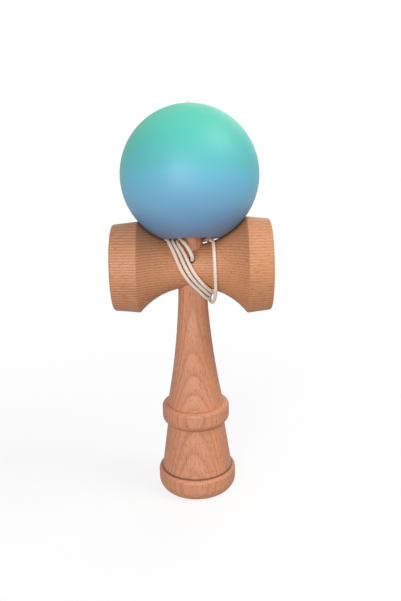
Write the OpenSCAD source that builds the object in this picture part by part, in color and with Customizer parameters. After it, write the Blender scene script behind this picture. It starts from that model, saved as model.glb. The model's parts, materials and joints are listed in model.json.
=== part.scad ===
// Kendama: a turned ken with its cross-piece, a painted ball on the spike and the string wound up.
// Millimetres. Z runs up the ken, X along the cross-piece towards the big cup, -Y is the front.
// The origin is the centre of the base cup's rim, on the surface that the toy stands on.

/* [Ken] */
// Length of the ken from the base rim to the tip of the spike
ken_len = 160; // [157:0.5:161]
// Widest diameter of the base cup
base_d = 36.2; // [34:0.2:38]
// Height of the rounded band round the base cup
base_h = 10.4; // [9:0.2:12]
// Diameter of the hollow in the base cup, at its rim
base_dish_d = 28; // [26:0.5:29]
// Depth of the hollow in the base cup
base_dish_depth = 5.5; // [4:0.25:6.5]
// Diameter of the handle where it leaves the base band
body_bottom_d = 32.8; // [31:0.2:33]
// Diameter of the handle below the slip ring
body_top_d = 26.1; // [25:0.2:27]
// Diameter of the slip ring
ring_d = 31; // [30:0.2:32]
// Height of the slip ring's underside
ring_bottom = 33.4; // [32:0.2:35]
// Height of the slip ring's top
ring_top = 42.5; // [41.5:0.2:44]
// Diameter of the stem where it leaves the slip ring
stem_bottom_d = 25.8; // [25:0.2:26.4]
// Radius of the hollow flare of the stem
stem_flare_r = 340; // [300:10:420]
// Diameter of the taper where it enters the cross-piece
taper_d = 12.6; // [12.2:0.1:12.8]
// Diameter of the spike's rounded tip
tip_d = 5; // [4.6:0.1:5.2]

/* [Cross-piece] */
// Height of the cross-piece's axis
sarado_z = 107; // [105:0.5:109]
// Length of the cross-piece over its two lips
sarado_len = 69; // [66:0.5:72]
// Diameter of the waist
waist_d = 18.6; // [18.2:0.1:19]
// Diameter of the big cup at its inner corner
big_band_d = 42.4; // [41.6:0.2:43]
// Diameter of the big cup at its lip
big_lip_d = 40.2; // [39.4:0.2:41]
// Depth of the big cup
big_depth = 9; // [7:0.5:10]
// Diameter of the small cup at its inner corner
small_band_d = 40; // [39:0.2:41]
// Diameter of the small cup at its lip
small_lip_d = 38; // [37:0.2:39]
// Depth of the small cup
small_depth = 8; // [6:0.5:9]
// Room between the ball and the saddle's curve, at the radius
saddle_room = 0.15; // [0.1:0.05:0.4]

/* [Ball] */
// Diameter of the ball
tama_d = 60; // [59.6:0.1:60.4]
// Diameter of the spike hole
spike_hole_d = 22; // [21.8:0.1:22.6]
// Bevel round the mouth of the spike hole
spike_hole_bevel = 1.2; // [1:0.1:1.4]
// Angle by which the ball leans back on the spike
tama_lean = 13; // [12:0.5:14]
// Distance of the ball's centre behind the ken
tama_back = 4; // [3.6:0.1:4.4]
// Gap under the ball where the saddle would carry it
seat_gap = 0.15; // [0.1:0.05:0.3]

/* [String] */
// Diameter of the string
string_d = 1.5; // [1.2:0.1:1.5]
// Diameter of the string holes
string_hole_d = 3; // [2.8:0.1:3.2]
// Height of the string hole above the cross-piece's axis
string_hole_up = 4.6; // [4.4:0.1:4.8]
// Diameter of the bead inside the ball
bead_d = 9; // [8:0.2:9.2]
// Length of the bead
bead_len = 6; // [5:0.2:6]

/* [Hidden] */
$fn = 180;
over = 1;

// Ken: radii and heights of the turned outline.
base_r = base_d / 2;
foot_round = 6;
foot_z = 4.8;
shoulder_round = 2;
ring_r = ring_d / 2;
ring_low_round = 3;
ring_high_round = 1.8;
taper_z = sarado_z - 10;
tip_r = tip_d / 2;
tip_z = ken_len - tip_r;
taper_slope = (taper_d / 2 - tip_r) / (tip_z - taper_z);
function taper_r(z) = taper_d / 2 - taper_slope * (z - taper_z);

// Cross-piece: the saddle is one arc, and each cup's inner corner lies where it meets the band.
half_len = sarado_len / 2;
waist_r = waist_d / 2;
tama_r = tama_d / 2;
saddle_r = tama_r + saddle_room;
saddle_axis_r = waist_r + saddle_r;
lip_round = 1.1;
corner_round = 0.8;
taper_fit = 0.05;
function waist_at(x) = saddle_axis_r - sqrt(saddle_r * saddle_r - x * x);

// Ball: its centre, and the steps of the drilled hole measured along its own axis from the centre.
hole_r = spike_hole_d / 2;
seat_reach = waist_r + tama_r + seat_gap;
tama_z = sarado_z + sqrt(seat_reach * seat_reach - tama_back * tama_back);
tama_centre = [0, tama_back, tama_z];
bore_top = 14;
pocket_room = 0.5;
pocket_r = bead_d / 2 + pocket_room;
drill_slope = 0.6;
pocket_bottom = bore_top + (hole_r - pocket_r) * drill_slope;
bead_gap = 0.3;
bead_top = 23.3;
pocket_top = bead_top + bead_gap;
bead_bottom = bead_top - bead_len;
countersink = 1.4;

// String: its two knots and the hole through the ken.
string_r = string_d / 2;
string_hole_r = string_hole_d / 2;
string_hole_z = sarado_z + string_hole_up;
knot_recess_d = 6;
knot_recess_y = 1.6;
knot_r = 2.2;
knot_gap = 0.2;
knot_round = 0.8;
bead_knot_len = 2.6;
bead_hole_d = 2.4;

// String route: the string keeps this far off the wood, at its middle.
lift = string_r + 0.4;
// From the hole in the cross-piece, up in front and once behind the spike, from the axis' middle.
lead_points = [
    [0, -5.5, 4.6], [0, -7, 4.6], [0.3, -8.7, 4.6], [0.5, -10.6, 5.2], [0.3, -12, 7], [-0.5, -12, 9.2],
    [-1.8, -10.5, 11.1], [-3.2, -7.9, 12.3], [-4.5, -5, 13.1], [-5.8, -2, 13.7], [-6.5, 1.2, 13.8],
    [-5.3, 4.8, 12.8], [-2, 7.2, 11.3], [1.8, 7.3, 9.9], [5.3, 5.7, 9.9], [7.6, 2.6, 11.3],
    [8.9, -1, 12.2], [9.6, -4.6, 11.7]
];
// Down the front beside the waist: angle round the axis from the top, place along X, extra lift.
drop_stations = [
    [45, 9.6, 0.35], [70, 9.7, 0.4], [95, 9.9, 0.3], [118, 10.1, 0.4],
    [138, 10.1, 1.4], [155, 9.6, 3.1], [168, 8.9, 4.6]
];
// One slanting turn round waist and stem: angle, X, step of X a turn, extra lift, step of lift a turn.
turn_stations = [
    [180, 8, 0.05, 5.35, -2.15], [205, 6.8, 0.5, 5.1, -2.25], [230, 3.1, 2.2, 2.8, -1.25],
    [258, -0.3, 2.55, 0.7, -0.15], [285, -3.6, 2.5, 0.3, 0], [310, -6.5, 2.35, 0.3, 0],
    [339, -9, 2.1, 0.3, 0.1], [360, -10.5, 1.95, 0.3, 0.1], [382, -9.6, 2.05, 0.3, 0],
    [405, -7.5, 2.2, 0.3, 0], [430, -5.8, 2.25, 0.3, 0], [455, -3.8, 2.35, 0.3, 0],
    [480, -0.8, 2.5, 0.5, 0], [502, 2.9, 2.35, 1.55, -0.55], [522, 6.5, 1.45, 4.1, -1.9]
];
// How often the string goes round.
turns = 3;
// The extra lift that every turn keeps.
least_lift = 0.3;
// The last turn leaves the waist behind the stem, as in drop_stations.
leave_stations = [[180, 10.4, 0.3], [205, 10.4, 0.5], [230, 10, 0.6]];
// Up the back of the ball: angle above the level of its centre, X, extra lift.
climb_stations = [
    [-35, 5.6, 0.7], [-17, 4.4, 0.6], [1, 3.3, 0.45], [19, 2.3, 0.4],
    [37, 1.4, 0.4], [53, 0.6, 0.4], [66, 0.1, 0.4]
];
// Over the string hole's edge and down to the bead: distance behind the ball's axis, height along it.
sink_stations = [
    [4.4, 31.7], [2.1, 31.5], [0.5, 30], [0, 27.6], [0, 24.6], [0, 21.4], [0, bead_bottom - knot_gap]
];

function turn_at(s, i) = [s[0], s[1] + s[2] * i, max(s[3] + s[4] * i, least_lift)];
function round_axis(s) =
    let (rho = waist_at(s[1]) + lift + s[2])
    [s[1], -rho * sin(s[0]), sarado_z + rho * cos(s[0])];
function behind_ball(s) =
    let (reach = tama_r + lift + s[2], side = asin(s[1] / reach))
    tama_centre + reach * [sin(side), cos(side) * cos(s[0]), cos(side) * sin(s[0])];
function in_ball(s) =
    tama_centre + [
        0,
        s[0] * cos(tama_lean) + s[1] * sin(tama_lean),
        s[1] * cos(tama_lean) - s[0] * sin(tama_lean)
    ];
winding_route = concat(
    [for (p = lead_points) p + [0, 0, sarado_z + string_hole_up - lead_points[0][2]]],
    [for (s = drop_stations) round_axis(s)],
    [for (i = [0 : turns - 1], s = turn_stations) round_axis(turn_at(s, i))],
    [for (s = leave_stations) round_axis(s)]
);
// Straight from the waist to the ball, in thirds, of which the first stays with the winding.
leave_point = winding_route[len(winding_route) - 1];
touch_point = behind_ball(climb_stations[0]);
run_route = concat(
    [for (u = [1 / 3, 2 / 3]) leave_point + u * (touch_point - leave_point)],
    [for (s = climb_stations) behind_ball(s)],
    [for (s = sink_stations) in_ball(s)]
);
route = concat(winding_route, run_route);
winding_spans = len(winding_route);
winding_steps = 2;
winding_sides = 6;
run_steps = 3;
run_sides = 8;
run_gap = 0.05;

// Smooth curve: a uniform cubic B-spline that starts and ends on the end points.
function extended(p) = concat([2 * p[0] - p[1]], p, [2 * p[len(p) - 1] - p[len(p) - 2]]);
function spline_point(q, i, u) = (
    pow(1 - u, 3) * q[i - 1]
    + (3 * pow(u, 3) - 6 * u * u + 4) * q[i]
    + (-3 * pow(u, 3) + 3 * u * u + 3 * u + 1) * q[i + 1]
    + pow(u, 3) * q[i + 2]) / 6;
// Points of the route from span first to span last, with the given steps in each span.
function spline_part(first, last, steps, start = 0) =
    let (q = extended(route))
    [for (k = [first * steps : last * steps])
        let (i = min(floor(k / steps), len(q) - 4), u = k / steps - i)
        spline_point(q, i + 1, k == first * steps ? max(u, start) : u)];
function unit(v) = v / norm(v);
function tangents(p) =
    [for (i = [0 : len(p) - 1]) unit(p[min(i + 1, len(p) - 1)] - p[max(i - 1, 0)])];
function square_to(v, t) = unit(v - (v * t) * t);
// A side direction at each ring, carried along the route without twist.
function side_directions(t) =
    [for (i = 0, n = square_to([0.3, 0.2, 1], t[0]); i < len(t);
        i = i + 1, n = square_to(n, t[min(i, len(t) - 1)])) n];

module tube(path, r, sides) {
    t = tangents(path);
    n = side_directions(t);
    rings = len(path);
    corners = [for (i = [0 : rings - 1], a = [0 : sides - 1])
        path[i] + r * (cos(a * 360 / sides) * n[i] + sin(a * 360 / sides) * cross(t[i], n[i]))];
    walls = [for (i = [0 : rings - 2], a = [0 : sides - 1])
        let (b = (a + 1) % sides, low = i * sides, high = low + sides)
        each [[low + a, high + a, high + b], [low + a, high + b, low + b]]];
    last = (rings - 1) * sides;
    caps = [for (a = [1 : sides - 2]) each [[0, a, a + 1], [last, last + a + 1, last + a]]];
    polyhedron(corners, concat(walls, caps));
}

// Least gap of the string to itself, between points further apart along it than three spans of the route.
function least_gap(p, far) =
    min([for (i = [0 : len(p) - 1], j = [i + far : 1 : len(p) - 1]) norm(p[i] - p[j])]) - string_d;
gap_steps = 4;
gap_far = 3 * gap_steps;

module turned() {
    rotate_extrude()
        children();
}

// A bar lying along Y through the ken's axis at the string hole's height.
module cross_bore(d, from_y, to_y) {
    translate([0, to_y, string_hole_z])
        rotate([90, 0, 0])
            cylinder(d = d, h = to_y - from_y);
}

module base_outline() {
    intersection() {
        square([base_r, base_h]);
        translate([base_r - foot_round, foot_z])
            circle(foot_round);
    }
    square([base_r - foot_round, base_h]);
    translate([0, foot_z])
        square([base_r, base_h - shoulder_round - foot_z]);
    translate([0, foot_z])
        square([base_r - shoulder_round, base_h - foot_z]);
    translate([base_r - shoulder_round, base_h - shoulder_round])
        circle(shoulder_round);
}

module ring_outline() {
    low = ring_bottom + ring_low_round;
    high = ring_top - ring_high_round;
    translate([ring_r - ring_low_round, low])
        circle(ring_low_round);
    translate([ring_r - ring_high_round, high])
        circle(ring_high_round);
    translate([0, low])
        square([ring_r, high - low]);
    translate([0, ring_bottom])
        square([ring_r - ring_low_round, low - ring_bottom]);
    translate([0, high])
        square([ring_r - ring_high_round, ring_high_round]);
}

module stem_outline() {
    foot = [stem_bottom_d / 2, ring_top];
    head = [taper_d / 2, taper_z];
    chord = head - foot;
    across = unit([chord[1], -chord[0]]);
    centre = (foot + head) / 2 + across * sqrt(pow(stem_flare_r, 2) - pow(norm(chord) / 2, 2));
    difference() {
        polygon([[0, ring_top - over], [foot[0], ring_top - over], foot, head, [0, taper_z]]);
        translate(centre)
            circle(stem_flare_r, $fn = 720);
    }
}

module ken_outline() {
    dish_r = (pow(base_dish_d / 2, 2) + pow(base_dish_depth, 2)) / (2 * base_dish_depth);
    difference() {
        union() {
            base_outline();
            polygon([
                [0, foot_z], [body_bottom_d / 2, base_h - shoulder_round / 4], [body_top_d / 2, ring_bottom],
                [body_top_d / 2, ring_bottom + over], [0, ring_bottom + over]
            ]);
            ring_outline();
            stem_outline();
            polygon([[0, taper_z], [taper_d / 2, taper_z], [tip_r, tip_z], [0, tip_z]]);
            intersection() {
                translate([0, tip_z])
                    circle(tip_r);
                translate([0, tip_z])
                    square(tip_r);
            }
        }
        translate([0, base_dish_depth - dish_r])
            circle(dish_r);
    }
}

module ken() {
    color("#d69d7c")
        difference() {
            turned()
                ken_outline();
            cross_bore(string_hole_d, -taper_d, taper_d);
            cross_bore(knot_recess_d, knot_recess_y, taper_d);
        }
}

// One end of the cross-piece from the middle out to the lip, the axis of the turning along Y here.
module cup_outline(band_r, lip_r, depth) {
    corner_axis_r = band_r - corner_round;
    reach = saddle_r + corner_round;
    corner_x = sqrt(pow(reach, 2) - pow(saddle_axis_r - corner_axis_r, 2));
    touch_r = corner_axis_r + corner_round * (saddle_axis_r - corner_axis_r) / reach;
    touch_x = corner_x * saddle_r / reach;
    rim_x = half_len - lip_round;
    rim_r = lip_r - 2 * lip_round;
    floor_x = half_len - depth;
    dish_r = (pow(rim_r, 2) + pow(rim_x - floor_x, 2)) / (2 * (rim_x - floor_x));
    difference() {
        polygon([
            [0, 0], [waist_r + over, 0], [touch_r, touch_x], [band_r, corner_x], [lip_r, rim_x], [0, rim_x]
        ]);
        translate([saddle_axis_r, 0])
            circle(saddle_r, $fn = 360);
        translate([0, floor_x + dish_r])
            circle(dish_r);
    }
    translate([corner_axis_r, corner_x])
        circle(corner_round, $fn = 48);
    translate([lip_r - lip_round, rim_x])
        circle(lip_round, $fn = 48);
}

module sarado() {
    color("#d4966f")
        difference() {
            translate([0, 0, sarado_z])
                rotate([0, 90, 0])
                    turned() {
                        cup_outline(big_band_d / 2, big_lip_d / 2, big_depth);
                        mirror([0, 1])
                            cup_outline(small_band_d / 2, small_lip_d / 2, small_depth);
                    }
            translate([0, 0, taper_z])
                cylinder(h = 2 * (sarado_z - taper_z), r1 = taper_d / 2 + taper_fit,
                    r2 = taper_r(2 * sarado_z - taper_z) + taper_fit);
            cross_bore(string_hole_d, -waist_d, 0);
        }
}

module tama_outline() {
    mouth_r = hole_r + spike_hole_bevel;
    mouth_y = -sqrt(pow(tama_r, 2) - pow(mouth_r, 2));
    sink_y = sqrt(pow(tama_r, 2) - pow(string_hole_r + countersink, 2)) - countersink;
    difference() {
        circle(tama_r, $fn = 360);
        translate([-tama_d, -tama_d])
            square([tama_d, 2 * tama_d]);
        translate([0, -tama_d])
            square([hole_r, tama_d + bore_top]);
        polygon([
            [0, bore_top - over], [hole_r, bore_top - over], [hole_r, bore_top],
            [pocket_r, pocket_bottom], [pocket_r, pocket_top], [0, pocket_top]
        ]);
        square([string_hole_r, tama_d]);
        polygon([
            [0, sink_y], [string_hole_r, sink_y],
            [string_hole_r + 2 * countersink, sink_y + 2 * countersink], [0, sink_y + 2 * countersink]
        ]);
        polygon([[0, mouth_y + spike_hole_bevel], [hole_r, mouth_y + spike_hole_bevel],
            [mouth_r + over, mouth_y - over], [0, mouth_y - over]]);
    }
}

// The frame of the ball: its centre, leaning back.
module ball_frame() {
    translate(tama_centre)
        rotate([-tama_lean, 0, 0])
            children();
}

module tama() {
    color("#79c8d8")
        ball_frame()
            turned()
                tama_outline();
}

module string_bead() {
    color("#e6ddc8")
        ball_frame()
            translate([0, 0, bead_bottom + bead_len / 2])
                turned()
                    difference() {
                        intersection() {
                            circle(bead_d / 2);
                            translate([0, -bead_len / 2])
                                square([bead_d, bead_len]);
                        }
                        translate([0, -bead_len])
                            square([bead_hole_d / 2, 2 * bead_len]);
                    }
}

module string_winding() {
    echo(least_gap = least_gap(spline_part(0, winding_spans, gap_steps), gap_far));
    color("#efe6d8")
        tube(spline_part(0, winding_spans, winding_steps), string_r, winding_sides);
}

module string_run() {
    color("#efe6d8")
        tube(spline_part(winding_spans, len(route) - 1, run_steps, run_gap), string_r, run_sides);
}

// A tight knot as a short barrel with round edges, standing on the plane of its base.
module knot(len) {
    turned() {
        square([knot_r - knot_round, len]);
        translate([0, knot_round])
            square([knot_r, len - 2 * knot_round]);
        for (y = [knot_round, len - knot_round])
            translate([knot_r - knot_round, y])
                circle(knot_round, $fn = 48);
    }
}

module ken_knot() {
    surface_y = taper_r(string_hole_z);
    knot_y = knot_recess_y + knot_gap;
    color("#efe6d8") {
        cross_bore(string_d, -surface_y + knot_gap, knot_y + knot_round);
        translate([0, knot_y, string_hole_z])
            rotate([-90, 0, 0])
                knot(surface_y - knot_gap - knot_y);
    }
}

module bead_knot() {
    top = sink_stations[len(sink_stations) - 1][1];
    color("#efe6d8")
        ball_frame()
            translate([0, 0, top - bead_knot_len])
                knot(bead_knot_len);
}

ken();
sarado();
tama();
string_bead();
string_winding();
string_run();
ken_knot();
bead_knot();
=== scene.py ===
# %% [markdown]
# # A kendama, dressed for its photograph
# A kendama is a wooden cup-and-ball toy. The handle, called the ken, ends in a spike. A cross-piece
# with two cups, the sarado, is pushed onto the handle's taper. The ball, the tama, has a drilled hole
# and stands on the spike, and a string ties them together. The CAD model already holds the true shapes,
# so this lesson keeps the turned pieces as they are, gives them real finishes, and makes the string,
# which CAD can only show as a plain tube.

# %% Load the frame
import itertools
import json
import math

import bpy
import numpy as np
from mathutils import Matrix, Vector


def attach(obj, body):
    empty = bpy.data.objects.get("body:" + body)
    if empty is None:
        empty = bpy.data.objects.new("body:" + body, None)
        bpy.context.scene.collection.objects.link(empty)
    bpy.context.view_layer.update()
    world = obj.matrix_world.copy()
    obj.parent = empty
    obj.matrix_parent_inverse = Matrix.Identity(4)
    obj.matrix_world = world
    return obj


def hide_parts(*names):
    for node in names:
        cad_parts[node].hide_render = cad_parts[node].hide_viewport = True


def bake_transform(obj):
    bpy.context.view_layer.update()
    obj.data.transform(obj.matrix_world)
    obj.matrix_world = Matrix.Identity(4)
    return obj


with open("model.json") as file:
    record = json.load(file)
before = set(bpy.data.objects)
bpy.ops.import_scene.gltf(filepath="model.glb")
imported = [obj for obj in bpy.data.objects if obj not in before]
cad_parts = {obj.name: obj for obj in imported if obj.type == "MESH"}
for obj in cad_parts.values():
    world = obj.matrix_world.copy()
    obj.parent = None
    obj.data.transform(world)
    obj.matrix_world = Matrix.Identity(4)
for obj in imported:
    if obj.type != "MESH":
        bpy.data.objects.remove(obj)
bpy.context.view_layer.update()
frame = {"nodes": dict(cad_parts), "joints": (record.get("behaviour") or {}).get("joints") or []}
nodes = frame["nodes"]
joints = {joint["name"]: joint for joint in frame["joints"]}
MM = 0.001
print("pieces in the frame:", ", ".join(sorted(nodes)))

# %% [markdown]
# ## The camera
# The picture was taken from a hand's height above the toy, close by, so the ball looks big and the
# handle narrows downwards. A camera placed by eye would not line up with the picture. These numbers
# come from fitting the ball's outline, the cups and the handle's axis to a picture of 401 by 601
# pixels. Blender measures the focal length against the longer side of the picture, which here is its
# height.

# %% Camera
PICTURE_HEIGHT_PX = 601
FOCAL_PX = 685.7
SENSOR_MM = 36
CAMERA_PLACE = (0.0034, -0.2949, 0.1756)
CAMERA_DOWN_DEG = 16.0
CAMERA_ROLL_DEG = -1.37

camera = bpy.data.objects.new("camera", bpy.data.cameras.new("camera"))
bpy.context.scene.collection.objects.link(camera)
camera.data.sensor_width = SENSOR_MM
camera.data.lens = FOCAL_PX / PICTURE_HEIGHT_PX * SENSOR_MM
camera.data.clip_start = 0.01
tilt = Matrix.Rotation(math.radians(90 - CAMERA_DOWN_DEG), 4, "X")
roll = Matrix.Rotation(math.radians(CAMERA_ROLL_DEG), 4, "Z")
camera.matrix_world = Matrix.Translation(CAMERA_PLACE) @ tilt @ roll
bpy.context.scene.camera = camera
print(f"lens {camera.data.lens:.1f} mm")

# %% [markdown]
# ## The string's route
# The string is one cord, about 45 cm long. It is knotted in the handle, comes out at the front of the
# cross-piece's waist, goes once behind the spike under the ball, comes down at the right, and winds
# three slanting turns round waist and handle. From the back of the waist it runs up behind the ball,
# over its top and down to a bead inside it. The lists below are the same as in the CAD source, in
# millimetres. Points round the waist are stations: an angle about the cross-piece's axis, a place along
# it, and how far the string stands off the wood.

# %% Where the wood is
SARADO_Z = 107.0
WAIST_R = 9.3
BALL_R = 30.0
SEAT_GAP = 0.15
SADDLE_R = BALL_R + SEAT_GAP
STRING_D = 1.5
STRING_GAP = 0.4
LIFT = STRING_D / 2 + STRING_GAP
ball_centre = np.array(joints["tama_spin"]["pos_m"]) / MM
ball_axis = np.array(joints["tama_spin"]["axis"])
ball_back = np.array([0.0, ball_axis[2], -ball_axis[1]])


def waist_radius(x):
    """Radius of the waist at x: an arc about a point that lies one saddle radius off the waist."""
    return WAIST_R + SADDLE_R - np.sqrt(SADDLE_R**2 - x**2)


def round_axis(stations):
    """Stations of angle, x and extra lift, as points: the angle turns from the top over the front."""
    angle, x, extra = np.array(stations, float).T
    reach = waist_radius(x) + LIFT + extra
    angle = np.radians(angle)
    return np.stack([x, -reach * np.sin(angle), SARADO_Z + reach * np.cos(angle)], axis=1)


def behind_ball(stations):
    """Stations of height angle, x and extra lift, as points on the back of a sphere round the ball."""
    angle, x, extra = np.array(stations, float).T
    reach = BALL_R + LIFT + extra
    flat = np.sqrt(reach**2 - x**2)
    angle = np.radians(angle)
    return ball_centre + np.stack([x, flat * np.cos(angle), flat * np.sin(angle)], axis=1)


def in_ball(stations):
    """Stations of distance behind the ball's own axis and height along it, as points."""
    behind, height = np.array(stations, float).T
    return ball_centre + behind[:, None] * ball_back + height[:, None] * ball_axis


print("ball's centre, mm:", np.round(ball_centre, 2))

# %% The route's points
LEAD = np.array([
    [0, -5.5, 4.6], [0, -7, 4.6], [0.3, -8.7, 4.6], [0.5, -10.6, 5.2], [0.3, -12, 7], [-0.5, -12, 9.2],
    [-1.8, -10.5, 11.1], [-3.2, -7.9, 12.3], [-4.5, -5, 13.1], [-5.8, -2, 13.7], [-6.5, 1.2, 13.8],
    [-5.3, 4.8, 12.8], [-2, 7.2, 11.3], [1.8, 7.3, 9.9], [5.3, 5.7, 9.9], [7.6, 2.6, 11.3],
    [8.9, -1, 12.2], [9.6, -4.6, 11.7],
]) + [0, 0, SARADO_Z]
DROP = [
    [45, 9.6, 0.35], [70, 9.7, 0.4], [95, 9.9, 0.3], [118, 10.1, 0.4],
    [138, 10.1, 1.4], [155, 9.6, 3.1], [168, 8.9, 4.6],
]
TURN = np.array([
    [180, 8, 0.05, 5.35, -2.15], [205, 6.8, 0.5, 5.1, -2.25], [230, 3.1, 2.2, 2.8, -1.25],
    [258, -0.3, 2.55, 0.7, -0.15], [285, -3.6, 2.5, 0.3, 0], [310, -6.5, 2.35, 0.3, 0],
    [339, -9, 2.1, 0.3, 0.1], [360, -10.5, 1.95, 0.3, 0.1], [382, -9.6, 2.05, 0.3, 0],
    [405, -7.5, 2.2, 0.3, 0], [430, -5.8, 2.25, 0.3, 0], [455, -3.8, 2.35, 0.3, 0],
    [480, -0.8, 2.5, 0.5, 0], [502, 2.9, 2.35, 1.55, -0.55], [522, 6.5, 1.45, 4.1, -1.9],
])
TURNS = 3
LEAST_LIFT = 0.3
LEAVE = [[180, 10.4, 0.3], [205, 10.4, 0.5], [230, 10, 0.6]]
CLIMB = [
    [-35, 5.6, 0.7], [-17, 4.4, 0.6], [1, 3.3, 0.45], [19, 2.3, 0.4],
    [37, 1.4, 0.4], [53, 0.6, 0.4], [66, 0.1, 0.4],
]
SINK = [[4.4, 31.7], [2.1, 31.5], [0.5, 30], [0, 27.6], [0, 24.6], [0, 21.4], [0, 17.1]]


def turn(i):
    """Turn i of the winding: each station steps sideways and in lift, but keeps the least lift."""
    angle, x, x_step, extra, extra_step = TURN.T
    return np.stack([angle, x + i * x_step, np.maximum(extra + i * extra_step, LEAST_LIFT)], axis=1)


winding = [round_axis(turn(i)) for i in range(TURNS)]
wound = np.vstack([LEAD, round_axis(DROP), *winding, round_axis(LEAVE)])
climb = behind_ball(CLIMB)
thirds = np.array([[1 / 3], [2 / 3]])
straight = wound[-1] + thirds * (climb[0] - wound[-1])
route = np.vstack([wound, straight, climb, in_ball(SINK)])
print(f"{len(route)} points, {TURNS} turns")

# %% [markdown]
# ## From points to a smooth curve
# A string bends evenly, but the route is only a list of points. A curve object could round them off,
# and its bevel would even make a tube, but only a plain round one. So the points are smoothed here with
# a B-spline, which bends as gently as a limp cord, and the curve is cut into even steps, so that a
# twist can be counted along it.

# %% Smooth curves
def smooth(points, steps=12):
    """A uniform cubic B-spline: each point is a weighted mean of four neighbours, with mirrored ends."""
    padded = np.vstack([2 * points[0] - points[1], points, 2 * points[-1] - points[-2]])
    u = np.arange(steps) / steps
    inner = [3 * u**3 - 6 * u**2 + 4, -3 * u**3 + 3 * u**2 + 3 * u + 1]
    weights = np.stack([(1 - u)**3, *inner, u**3], axis=1) / 6
    fours = np.stack([padded[k:len(padded) - 3 + k] for k in range(4)], axis=1)
    curve = np.einsum("uk,skc->suc", weights, fours).reshape(-1, 3)
    return np.vstack([curve, points[-1]])


def even(curve, step):
    """The same curve in steps of equal length, with the distance along it."""
    along = np.concatenate([[0], np.cumsum(np.linalg.norm(np.diff(curve, axis=0), axis=1))])
    distance = np.linspace(0, along[-1], int(along[-1] / step) + 1)
    return np.stack([np.interp(distance, along, axis) for axis in curve.T], axis=1), distance


string_curve = smooth(route)
print(len(string_curve), "points along the string")

# %% [markdown]
# ## A side for every ring
# A tube is a row of rings, and each ring has to know where its first point lies. If that side were
# chosen anew for each ring, the rings would twist against each other at every bend. So one side is
# carried along from ring to ring, and only what points along the cord is taken away.

# %% Sides and meshes
ANY_WAY = (0.36, 0.48, 0.8)


def unit(v):
    """Each row at length one."""
    return v / np.linalg.norm(v, axis=-1, keepdims=True)


def carry_sides(tangents):
    """A side direction for each ring: the last one with its part along the new tangent taken away."""
    first = unit(np.cross(tangents[0], ANY_WAY))
    sides = itertools.accumulate(tangents[1:], lambda side, t: unit(side - side.dot(t) * t), initial=first)
    return np.array(list(sides))


def put_mesh(name, points, faces, uv):
    """A mesh object in metres from points in millimetres, with one UV pair for each corner of each face."""
    mesh = bpy.data.meshes.new(name)
    mesh.from_pydata(points * MM, [], faces)
    mesh.uv_layers.new(name="along").data.foreach_set("uv", uv.astype(np.float32).ravel())
    mesh.polygons.foreach_set("use_smooth", np.ones(len(mesh.polygons), bool))
    mesh.update()
    piece = bpy.data.objects.new(name, mesh)
    bpy.context.scene.collection.objects.link(piece)
    return piece


print("sides start across", ANY_WAY)

# %% [markdown]
# ## Three plies twisted together
# The real string is three plies laid round each other, with a groove between each two. A bump texture
# would show the grooves only in the shading, and the cord's edge would stay smooth. So the section
# itself has three lobes, and it turns a little from ring to ring, which makes the twist.

# %% Twisted cord
PLIES = 3
TWIST_MM = 5.0
GROOVE = 0.16
FULL = 1.04
ROUND_PLY = 0.7
CORNERS = ((0, 0), (1, 0), (1, 1), (0, 1))


def twisted_cord(name, curve, diameter, step=0.3, sides=24):
    """A tube with three lobes: the radius falls by the groove's share where |cos(1.5 angle)|^0.7 is 0.

    The angle is measured from a side that turns once round the cord in each length of twist.
    """
    centre, distance = even(curve, step)
    tangents = unit(np.gradient(centre, axis=0))
    side = carry_sides(tangents)
    other = np.cross(tangents, side)
    angle = np.linspace(0, 2 * np.pi, sides, endpoint=False)
    twisted = angle - 2 * np.pi / TWIST_MM * distance[:, None]
    lobe = np.abs(np.cos(PLIES / 2 * twisted))**ROUND_PLY
    reach = diameter / 2 * (FULL - GROOVE * (1 - lobe))
    ring = np.cos(angle)[:, None] * side[:, None] + np.sin(angle)[:, None] * other[:, None]
    points = (centre[:, None] + reach[..., None] * ring).reshape(-1, 3)
    low = np.arange((len(centre) - 1) * sides).reshape(-1, sides)
    near = np.roll(low, -1, axis=1)
    faces = np.stack([low, near, near + sides, low + sides], axis=-1).reshape(-1, 4)
    u = np.broadcast_to(np.arange(sides) / sides, low.shape)
    v = np.broadcast_to(distance[:-1, None], low.shape)
    u_step = 1 / sides
    v_step = distance[1] - distance[0]
    uv = np.stack([np.stack([u + du * u_step, v + dv * v_step], axis=-1) for du, dv in CORNERS], axis=2)
    caps = [list(range(sides))[::-1], list(range(len(points) - sides, len(points)))]
    cap_uv = np.zeros((2 * sides, 2))
    piece = put_mesh(name, points, faces.tolist() + caps, np.vstack([uv.reshape(-1, 2), cap_uv]))
    return piece, centre * MM


string, string_path = twisted_cord("string", string_curve, STRING_D)

# %% [markdown]
# ## The two knots
# Both ends of the string are tied off where nobody looks: in a recess in the back of the handle, and
# under the bead in the ball. They show only when the toy is taken apart, yet a cord never just stops,
# so each end is a small tight overhand knot. Its shape is the trefoil curve, the simplest knot there
# is: sine and cosine of one angle plus twice those of the double angle, with a wave of three humps for
# over and under. The strand leaves it by the middle.

# %% Knots
KNOT_SIZE = 0.56
KNOT_D = 1.15
LOOP_FROM = 0.5
LOOP_TO = 2 * np.pi - 0.2
STRAND_FROM = 2.2
HOLE_Z = SARADO_Z + 4.6
KNOT_Y = 3.5
TAIL_END_Y = -6.4
BEAD_KNOT_HEIGHT = 15.6
BEAD_STRAND = 3.4


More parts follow.
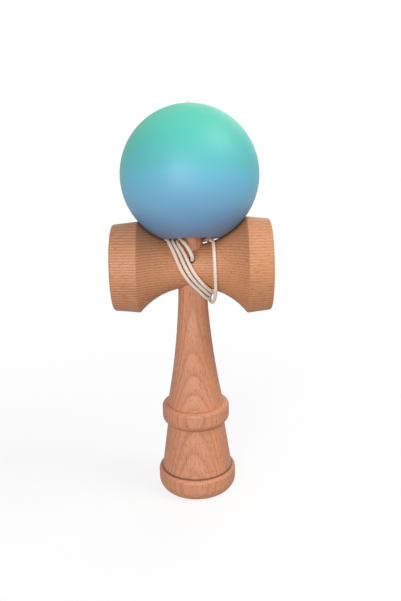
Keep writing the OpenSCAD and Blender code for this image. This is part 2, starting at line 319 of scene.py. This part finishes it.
def knot_route(place, way, reach):
    """A trefoil about the point place, flat across the direction way, and then a strand along it."""
    way = unit(np.array(way, float))
    across = unit(np.cross(way, [1.0, 0.0, 0.0]))
    aside = np.cross(way, across)
    t = np.linspace(LOOP_FROM, LOOP_TO, 30)[:, None]
    flat = (np.sin(t) + 2 * np.sin(2 * t)) * aside + (np.cos(t) - 2 * np.cos(2 * t)) * across
    tied = place + KNOT_SIZE * (flat - np.sin(3 * t) * way)
    strand = place + np.linspace(STRAND_FROM, reach, 6)[:, None] * way
    return np.vstack([tied, strand])


ken_end = knot_route(np.array([0, KNOT_Y, HOLE_Z]), [0, -1, 0], KNOT_Y - TAIL_END_Y)
tied_in_ken, _ = twisted_cord("string_knot_in_ken", smooth(ken_end, 6), KNOT_D, step=0.25, sides=18)
bead_end = knot_route(ball_centre + BEAD_KNOT_HEIGHT * ball_axis, ball_axis, BEAD_STRAND)
tied_at_bead, _ = twisted_cord("string_knot_at_bead", smooth(bead_end, 6), KNOT_D, step=0.25, sides=18)
print("knots:", tied_in_ken.name, tied_at_bead.name)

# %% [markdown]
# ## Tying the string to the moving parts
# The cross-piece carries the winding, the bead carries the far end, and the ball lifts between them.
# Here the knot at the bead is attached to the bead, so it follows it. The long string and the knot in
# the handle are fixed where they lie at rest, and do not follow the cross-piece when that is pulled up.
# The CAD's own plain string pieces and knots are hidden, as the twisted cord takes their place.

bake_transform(string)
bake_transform(tied_in_ken)
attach(tied_at_bead, "bead")
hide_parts("string_winding", "string_run")
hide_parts("ken_knot")
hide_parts("bead_knot")

# %% [markdown]
# ## Colours and nodes
# Colours are easiest to judge as sRGB hex values, as a picture shows them, but shaders work in linear
# light. One function turns one into the other. A second adds a node to a material: its settings are the
# node's properties, each of its inputs takes either a value or another node's output, and a colour ramp
# also takes its stops.

# %% Helpers for materials
def colour(text):
    """A hex colour as linear light: (c + 0.055) / 1.055 to the power 2.4, and c / 12.92 near black."""
    c = np.array([int(text[k:k + 2], 16) for k in (1, 3, 5)]) / 255
    linear = np.where(c > 0.04045, ((c + 0.055) / 1.055)**2.4, c / 12.92)
    return (*linear.tolist(), 1.0)


def add(tree, kind, inputs=None, stops=(), **settings):
    """One node with its settings, its inputs, each a value or a socket to link from, and a ramp's stops."""
    node = tree.nodes.new(kind)
    for name, value in settings.items():
        setattr(node, name, value)
    for key, value in (inputs or {}).items():
        if isinstance(value, bpy.types.NodeSocket):
            tree.links.new(value, node.inputs[key])
        else:
            node.inputs[key].default_value = value
    for place, _ in stops[2:]:
        node.color_ramp.elements.new(place)
    for k, (place, text) in enumerate(stops):
        node.color_ramp.elements[k].position = place
        node.color_ramp.elements[k].color = colour(text)
    return node


def new_material(name):
    """An empty material with a shader and an output, and its node tree."""
    material = bpy.data.materials.new(name)
    material.use_nodes = True
    tree = material.node_tree
    tree.nodes.clear()
    shader = add(tree, "ShaderNodeBsdfPrincipled")
    add(tree, "ShaderNodeOutputMaterial", {"Surface": shader.outputs["BSDF"]})
    return material, tree, shader


def per_mm(*sizes):
    """Texture scales at which a pattern's features have those sizes in millimetres."""
    return tuple(1 / (size * MM) for size in sizes)


print("white is", colour("#ffffff"))

# %% [markdown]
# ## Oiled beech
# Handle and cross-piece are turned from beech and only oiled. Beech is pale and pinkish, with faint
# growth rings about a millimetre apart and many short brown flecks, which are the ends of its rays. A
# texture wrapped round the surface would look printed on. Wood is solid, so the pattern is made in
# space: rings round a pith line that lies outside the piece. Where the turned surface cuts them they
# give arches on the flared stem and fine lines on the cross-piece, as on the real toy. The rings run
# along the grain, so one mapping turns space until the grain points along Z. Oil leaves wood half matt,
# and the late wood of each ring, which is denser, a little more matt than the rest.

# %% Grain in space
RING_MM = 1.15
RINGS_APART = 2 * math.pi / 20
STREAK_MM = 14.0
LONG_GRAIN = 0.22
FLECK_MM = (0.42, 0.42, 3.0)
FIBRE_MM = (0.14, 0.14, 4.0)


def grain_patterns(tree, place, pith_mm, turn_deg):
    """Growth rings, ray flecks, fibres and broad streaks, each from 0 to 1, along the turned grain."""
    pith = tuple(c * MM for c in pith_mm)
    moved = add(tree, "ShaderNodeVectorMath", {0: place, 1: pith}, operation="SUBTRACT").outputs[0]
    turn_by = tuple(math.radians(a) for a in turn_deg)
    grain = add(tree, "ShaderNodeMapping", {"Vector": moved, "Rotation": turn_by}).outputs[0]
    long_grain = add(tree, "ShaderNodeMapping", {"Vector": grain, "Scale": (1, 1, LONG_GRAIN)}).outputs[0]
    rings = add(tree, "ShaderNodeTexWave", {
        "Vector": long_grain, "Scale": RINGS_APART / (RING_MM * MM), "Distortion": 2.4, "Detail": 3.0,
        "Detail Scale": 0.3, "Detail Roughness": 0.6,
    }, wave_type="RINGS", rings_direction="Z", wave_profile="SAW").outputs["Fac"]
    at_flecks = add(tree, "ShaderNodeMapping", {"Vector": grain, "Scale": per_mm(*FLECK_MM)}).outputs[0]
    flecks = add(tree, "ShaderNodeTexNoise", {
        "Vector": at_flecks, "Scale": 1.0, "Detail": 1.0}).outputs["Fac"]
    at_fibres = add(tree, "ShaderNodeMapping", {"Vector": grain, "Scale": per_mm(*FIBRE_MM)}).outputs[0]
    fibres = add(tree, "ShaderNodeTexNoise", {
        "Vector": at_fibres, "Scale": 1.0, "Detail": 3.0}).outputs["Fac"]
    streaks = add(tree, "ShaderNodeTexNoise", {
        "Vector": long_grain, "Scale": per_mm(STREAK_MM)[0], "Detail": 2.0}).outputs["Fac"]
    return rings, flecks, fibres, streaks


print(f"rings {RING_MM} mm apart, flecks {FLECK_MM[2]} mm long")

# %% [markdown]
# Where two turned forms meet, a lathe leaves a sharp inner corner, and shade falls into it. This shade
# is painted into the wood as a dark line. It could be painted on an image, but the corners are circles
# round the handle's axis, so the distance to such a circle is worked out in the shader: the distance in
# the plane of radius and height.

# %% Painted shade in the creases
CREASE_MM = (0.15, 0.9)


def crease_shade_share(tree, place, creases):
    """The share of painted shade, from 0 to 1: greatest on circles round Z, each a radius and a height in
    mm.
    """
    apart = add(tree, "ShaderNodeSeparateXYZ", {0: place}).outputs
    flat = add(tree, "ShaderNodeCombineXYZ", {"X": apart["X"], "Y": apart["Y"]}).outputs[0]
    radius = add(tree, "ShaderNodeVectorMath", {0: flat}, operation="LENGTH").outputs["Value"]
    section = add(tree, "ShaderNodeCombineXYZ", {"X": radius, "Y": apart["Z"]}).outputs[0]
    share = 0.0
    for r, z in creases:
        corner = (r * MM, z * MM, 0)
        away = add(tree, "ShaderNodeVectorMath", {
            0: section, 1: corner}, operation="DISTANCE").outputs["Value"]
        near = add(tree, "ShaderNodeMapRange", {
            "Value": away, "From Min": CREASE_MM[0] * MM, "From Max": CREASE_MM[1] * MM,
            "To Min": 1.0, "To Max": 0.0}, interpolation_type="SMOOTHSTEP").outputs["Result"]
        share = add(tree, "ShaderNodeMath", {0: near, 1: share}, operation="MAXIMUM").outputs[0]
    return share


KEN_CREASES = ((16.45, 10.4), (13.1, 33.5))
print("creases at heights", [z for _, z in KEN_CREASES], "mm")

# %% [markdown]
# With the patterns at hand, the wood itself is a mix: early and late wood by the rings, a warmer tint
# in broad streaks, darker flecks, and a change of brightness along the fibres. The same patterns give
# roughness and a very low bump, so that colour and shine agree. Handle, cross-piece and bead differ
# only in where the pith lies, how the grain runs and in their colours, and the handle also gets painted
# shade in its creases.

# %% Beech
# Painted shade: a dark brown that is mixed into the wood at the inner corners, where shade falls.
CREASE_SHADE_COLOUR = "#5a321f"
CREASE_SHADE_STRENGTH = 0.75
GRAIN_RELIEF_MM = 0.05


def beech(name, pith_mm, turn_deg, early, late, tint, fleck, creases=()):
    """Oiled beech whose pith line passes through pith_mm, with the grain turned to Z by turn_deg."""
    material, tree, shader = new_material(name)
    place = add(tree, "ShaderNodeTexCoord").outputs["Object"]
    rings, flecks, fibres, streaks = grain_patterns(tree, place, pith_mm, turn_deg)
    wood = add(tree, "ShaderNodeValToRGB", {"Fac": rings}, stops=(
        (0.0, early), (0.45, early), (0.9, late), (1.0, early))).outputs["Color"]
    tint_share = add(tree, "ShaderNodeMapRange", {
        "Value": streaks, "From Min": 0.4, "From Max": 0.65, "To Max": 0.6}).outputs["Result"]
    fleck_share = add(tree, "ShaderNodeMapRange", {
        "Value": flecks, "From Min": 0.56, "From Max": 0.7, "To Max": 0.6}).outputs["Result"]
    for share, other in ((tint_share, tint), (fleck_share, fleck)):
        wood = add(tree, "ShaderNodeMix", {
            "Factor": share, "A": wood, "B": colour(other)}, data_type="RGBA").outputs["Result"]
    shade = add(tree, "ShaderNodeMath", {0: streaks, 1: fibres}, operation="ADD").outputs[0]
    level = add(tree, "ShaderNodeMapRange", {
        "Value": shade, "From Min": 0.6, "From Max": 1.4, "To Min": 0.8, "To Max": 1.16}).outputs["Result"]
    wood = add(tree, "ShaderNodeVectorMath", {0: wood, "Scale": level}, operation="SCALE").outputs[0]
    # Painted shade in the creases: near each corner circle the wood's colour is mixed towards the dark
    # brown.
    if creases:
        share = crease_shade_share(tree, place, creases)
        crease_shade = add(tree, "ShaderNodeMath", {0: share, 1: CREASE_SHADE_STRENGTH}, operation="MULTIPLY").outputs[0]
        wood = add(tree, "ShaderNodeMix", {
            "Factor": crease_shade, "A": wood, "B": colour(CREASE_SHADE_COLOUR)}, data_type="RGBA").outputs["Result"]
    tree.links.new(wood, shader.inputs["Base Color"])

    gloss = add(tree, "ShaderNodeMapRange", {
        "Value": rings, "To Min": 0.5, "To Max": 0.62}).outputs["Result"]
    tree.links.new(gloss, shader.inputs["Roughness"])
    relief = add(tree, "ShaderNodeMath", {
        0: rings, 1: -0.5, 2: fibres}, operation="MULTIPLY_ADD").outputs[0]
    bump = add(tree, "ShaderNodeBump", {
        "Height": relief, "Strength": 0.5, "Distance": GRAIN_RELIEF_MM * MM})
    tree.links.new(bump.outputs[0], shader.inputs["Normal"])
    return material


ken_beech = beech(
    "oiled beech, grain upright", pith_mm=(3, 42, 0), turn_deg=(2, 1.5, 0),
    early="#d39373", late="#bd7d5c", tint="#c8845c", fleck="#96603f", creases=KEN_CREASES)
sarado_beech = beech(
    "oiled beech, grain across", pith_mm=(0, -26, 13), turn_deg=(0, 90, 0),
    early="#d2946c", late="#ae724e", tint="#c58456", fleck="#8f5b3b")
bead_beech = beech(
    "bare beech bead", pith_mm=(0, 30, 150), turn_deg=(0, 0, 0),
    early="#e0bf98", late="#cfa77c", tint="#dab58c", fleck="#b98d63")
print("beech:", ", ".join((ken_beech.name, sarado_beech.name, bead_beech.name)))

# %% [markdown]
# ## The ball's faded paint
# The ball is sprayed with a satin lacquer that fades from mint at the string hole to blue at the spike
# hole. The fade follows the ball's own axis, not the room's, so its colour is picked by the height
# along that axis. The axis leans back, as the ball does. A little noise on that height breaks the fade
# up as spray does. Sprayed lacquer also has a fine peel, like an orange's, and shines a little
# unevenly.

# %% The fade along the ball's axis
DRIFT_MM = 16.5
MIST_MM = 0.45
SPRAY_MM = 3.0
FADE = (
    (0.06, "#7189ab"), (0.15, "#6d9ac0"), (0.24, "#70a7c9"), (0.35, "#6cafcd"), (0.45, "#64b4ca"),
    (0.54, "#57b6bb"), (0.7, "#51bdaf"), (0.88, "#55c5ac"), (1.0, "#54c7a6"),
)

paint, tree, shader = new_material("satin lacquer, faded")
place = add(tree, "ShaderNodeTexCoord").outputs["Object"]
centre = tuple(ball_centre * MM)
axis = tuple(ball_axis)
from_centre = add(tree, "ShaderNodeVectorMath", {0: place, 1: centre}, operation="SUBTRACT").outputs[0]
height = add(tree, "ShaderNodeVectorMath", {
    0: from_centre, 1: axis}, operation="DOT_PRODUCT").outputs["Value"]
drift = add(tree, "ShaderNodeTexNoise", {
    "Vector": from_centre, "Scale": per_mm(DRIFT_MM)[0], "Detail": 2.0}).outputs["Fac"]
mist = add(tree, "ShaderNodeTexNoise", {
    "Vector": from_centre, "Scale": per_mm(MIST_MM)[0], "Detail": 1.0}).outputs["Fac"]
spray = add(tree, "ShaderNodeMath", {0: drift, 1: mist}, operation="ADD").outputs[0]
shifted = add(tree, "ShaderNodeMath", {
    0: spray, 1: SPRAY_MM * MM, 2: height}, operation="MULTIPLY_ADD").outputs[0]
level = add(tree, "ShaderNodeMapRange", {
    "Value": shifted, "From Min": (SPRAY_MM - BALL_R) * MM,
    "From Max": (SPRAY_MM + BALL_R) * MM}).outputs["Result"]
faded = add(tree, "ShaderNodeValToRGB", {"Fac": level}, stops=FADE).outputs["Color"]
print("paint:", len(FADE), "shades")

# %% [markdown]
# The spike hole, its bevel and the string hole are drilled after painting and show bare wood. They are
# all round the ball's axis, so what lies nearer to it than the hole's radius is bare. A second material
# on those faces would do too, but the mesh comes from CAD and stays as it is. A little of the mist's
# noise makes the paint's edge slightly ragged, as a drill leaves it.

# %% Bare wood in the ball's holes
HOLE_R = 11.0
BEVEL = 1.2
STRING_HOLE_R = 1.5
STRING_HOLE_WEAR = 0.2
UPPER_HOLE_FROM = 24.0
RAGGED_MM = 0.25
BARE_GRAIN_MM = (0.5, 0.5, 5.0)

along = add(tree, "ShaderNodeVectorMath", {0: axis, "Scale": height}, operation="SCALE").outputs[0]
off_axis = add(tree, "ShaderNodeVectorMath", {
    0: from_centre, 1: along}, operation="DISTANCE").outputs["Value"]
ragged = add(tree, "ShaderNodeMath", {
    0: mist, 1: RAGGED_MM * MM, 2: off_axis}, operation="MULTIPLY_ADD").outputs[0]
below = add(tree, "ShaderNodeMath", {
    0: height, 1: UPPER_HOLE_FROM * MM}, operation="LESS_THAN").outputs[0]
bare_reach = add(tree, "ShaderNodeMapRange", {
    "Value": below, "To Min": (STRING_HOLE_R + STRING_HOLE_WEAR) * MM,
    "To Max": (HOLE_R + BEVEL) * MM}).outputs["Result"]
bare = add(tree, "ShaderNodeMath", {0: ragged, 1: bare_reach}, operation="LESS_THAN").outputs[0]
at_grain = add(tree, "ShaderNodeMapping", {
    "Vector": from_centre, "Scale": per_mm(*BARE_GRAIN_MM)}).outputs[0]
grain = add(tree, "ShaderNodeTexNoise", {"Vector": at_grain, "Scale": 1.0, "Detail": 2.0}).outputs["Fac"]
drilled = add(tree, "ShaderNodeValToRGB", {"Fac": grain}, stops=(
    (0.3, "#b98462"), (0.55, "#cf9a7c"))).outputs["Color"]
coat = add(tree, "ShaderNodeMix", {
    "Factor": bare, "A": faded, "B": drilled}, data_type="RGBA").outputs["Result"]
tree.links.new(coat, shader.inputs["Base Color"])
print("bare within", HOLE_R + BEVEL, "mm of the axis")

# %% Shine and peel of the paint
PEEL_MM = 1.1
PEEL_RELIEF_MM = 0.015

shine = add(tree, "ShaderNodeMapRange", {
    "Value": drift, "From Min": 0.3, "From Max": 0.7, "To Min": 0.46, "To Max": 0.54}).outputs["Result"]
matt = add(tree, "ShaderNodeMix", {"Factor": bare, "A": shine, "B": 0.7}).outputs["Result"]
tree.links.new(matt, shader.inputs["Roughness"])
peel = add(tree, "ShaderNodeTexNoise", {
    "Vector": from_centre, "Scale": per_mm(PEEL_MM)[0], "Detail": 2.0}).outputs["Fac"]
bump = add(tree, "ShaderNodeBump", {"Height": peel, "Strength": 0.2, "Distance": PEEL_RELIEF_MM * MM})
tree.links.new(bump.outputs[0], shader.inputs["Normal"])
print("paint:", paint.name)

# %% [markdown]
# ## Twisted cotton
# The string is off-white cotton, spun and twisted. The grooves between its plies are in the mesh. What
# is left for the material is the fibres, which lie along each ply, so their noise is stretched along
# the cord's own UV map, and a soft sheen, because fibre ends catch the light from the side. The real
# yarn is finer than a pixel here, so its streaks are drawn a few times too coarse to show at all.

# %% Cotton string
YARN_ROUND = 32.0
YARN_LENGTH_MM = 0.23
YARN_SLANT = 0.35
YARN_RELIEF_MM = 0.08

cotton, tree, shader = new_material("twisted cotton, off-white")
uv = add(tree, "ShaderNodeUVMap", uv_map="along").outputs["UV"]
slant = add(tree, "ShaderNodeMapping", {
    "Vector": uv, "Rotation": (0, 0, YARN_SLANT), "Scale": (YARN_ROUND, 1 / YARN_LENGTH_MM, 1)}).outputs[0]
yarn = add(tree, "ShaderNodeTexNoise", {"Vector": slant, "Scale": 1.0, "Detail": 3.0}).outputs["Fac"]
off_white = add(tree, "ShaderNodeValToRGB", {"Fac": yarn}, stops=(
    (0.25, "#d9c3b0"), (0.62, "#f3e4d7"))).outputs["Color"]
tree.links.new(off_white, shader.inputs["Base Color"])
shader.inputs["Roughness"].default_value = 0.85
shader.inputs["Sheen Weight"].default_value = 0.25
bump = add(tree, "ShaderNodeBump", {"Height": yarn, "Strength": 0.6, "Distance": YARN_RELIEF_MM * MM})
tree.links.new(bump.outputs[0], shader.inputs["Normal"])
print("string:", cotton.name)

# %% [markdown]
# ## A finish for each piece
# The CAD meshes keep their shape and only change their material, so every edge stays where the drawing
# put it. The slots are cleared first, because a mesh from CAD arrives with a plain grey one.

# %% Give each piece its finish
finishes = {"ken": ken_beech, "sarado": sarado_beech, "tama": paint, "string_bead": bead_beech}
for name, material in finishes.items():
    nodes[name].data.materials.clear()
    nodes[name].data.materials.append(material)
for piece in (string, tied_in_ken, tied_at_bead):
    piece.data.materials.append(cotton)
print("finished:", ", ".join(finishes))

# %% [markdown]
# ## Floor
# The toy stands on white in soft daylight. A white picture ground could be had with very strong lamps,
# but then the wood would wash out. Instead the floor looks white to the camera alone, and to rays that
# a shiny or clear surface sends on. Close to the toy it still takes a share of its look from the light
# that falls on it, so the toy's shadow stays. Farther off that share fades, so no horizon shows. To all
# other rays the floor is grey, and the undersides of the cups stay as dark as they are on a table.

# %% Floor
FLOOR_HALF = 1.5
SHADOW_REACH = (0.05, 0.3)
GLOW_NEAR = 0.8

corners = [(-FLOOR_HALF, -FLOOR_HALF, 0), (FLOOR_HALF, -FLOOR_HALF, 0),
           (FLOOR_HALF, FLOOR_HALF, 0), (-FLOOR_HALF, FLOOR_HALF, 0)]
floor_mesh = bpy.data.meshes.new("floor")
floor_mesh.from_pydata(corners, [], [(0, 1, 2, 3)])
floor = bpy.data.objects.new("floor", floor_mesh)
bpy.context.scene.collection.objects.link(floor)


def seen_share(tree):
    """1 for a ray from the camera, from a shiny surface or through a clear one, and 0 for any other."""
    rays = add(tree, "ShaderNodeLightPath").outputs
    seen = rays["Is Camera Ray"]
    for kind in ("Is Glossy Ray", "Is Transmission Ray"):
        seen = add(tree, "ShaderNodeMath", {0: seen, 1: rays[kind]}, operation="MAXIMUM").outputs[0]
    return seen


paper, tree, shader = new_material("white paper sweep")
shader.inputs["Roughness"].default_value = 0.9
camera_ray = add(tree, "ShaderNodeLightPath").outputs["Is Camera Ray"]
shade = add(tree, "ShaderNodeMix", {
    "Factor": camera_ray, "A": colour("#8c8c8c"), "B": colour("#ffffff"),
}, data_type="RGBA").outputs["Result"]
tree.links.new(shade, shader.inputs["Base Color"])
place = add(tree, "ShaderNodeTexCoord").outputs["Object"]
away = add(tree, "ShaderNodeVectorMath", {0: place}, operation="LENGTH").outputs["Value"]
whiter = add(tree, "ShaderNodeMapRange", {
    "Value": away, "From Min": SHADOW_REACH[0], "From Max": SHADOW_REACH[1],
    "To Min": GLOW_NEAR, "To Max": 1.0}, interpolation_type="SMOOTHSTEP").outputs["Result"]
share = add(tree, "ShaderNodeMath", {0: seen_share(tree), 1: whiter}, operation="MULTIPLY").outputs[0]
glow = add(tree, "ShaderNodeEmission", {"Color": colour("#ffffff"), "Strength": 1.0}).outputs[0]
mixed = add(tree, "ShaderNodeMixShader", {0: share, 1: shader.outputs["BSDF"], 2: glow}).outputs[0]
tree.links.new(mixed, tree.nodes["Material Output"].inputs["Surface"])
floor_mesh.materials.append(paper)
print("floor", 2 * FLOOR_HALF, "m wide")

# %% [markdown]
# ## World and lamps
# Daylight in a room comes from large soft shapes: a window in front, light from above at the right, and
# a pale wall behind. Three square lamps stand for these. A sun lamp would draw hard shadows, which the
# picture doesn't have. The world adds a little light from all round, and looks white wherever the
# camera sees it.

# %% World and lamps
AMBIENT = 0.38
TOY_MIDDLE = Vector((0, 0, 0.1))

world = bpy.data.worlds.new("soft daylight")
bpy.context.scene.world = world
world.use_nodes = True
tree = world.node_tree
tree.nodes.clear()
strength = add(tree, "ShaderNodeMapRange", {
    "Value": seen_share(tree), "To Min": AMBIENT, "To Max": 1.0}).outputs["Result"]
sky = add(tree, "ShaderNodeBackground", {"Color": colour("#ffffff"), "Strength": strength}).outputs[0]
add(tree, "ShaderNodeOutputWorld", {"Surface": sky})


def lamp(name, place, power, size):
    """A square soft lamp at that place, turned to face the middle of the toy."""
    light = bpy.data.lights.new(name, "AREA")
    light.energy = power
    light.size = size
    holder = bpy.data.objects.new(name, light)
    bpy.context.scene.collection.objects.link(holder)
    facing = (Vector(place) - TOY_MIDDLE).to_track_quat("Z", "Y")
    holder.matrix_world = Matrix.Translation(place) @ facing.to_matrix().to_4x4()


lamp("window", (-0.16, -0.85, 0.3), 5.4, 0.5)
lamp("skylight", (0.55, -0.15, 0.8), 3.8, 0.35)
lamp("wall", (0.3, 0.85, 0.5), 1.6, 0.7)
bpy.context.scene.view_settings.view_transform = "Standard"
print("lamps: window, skylight and wall")
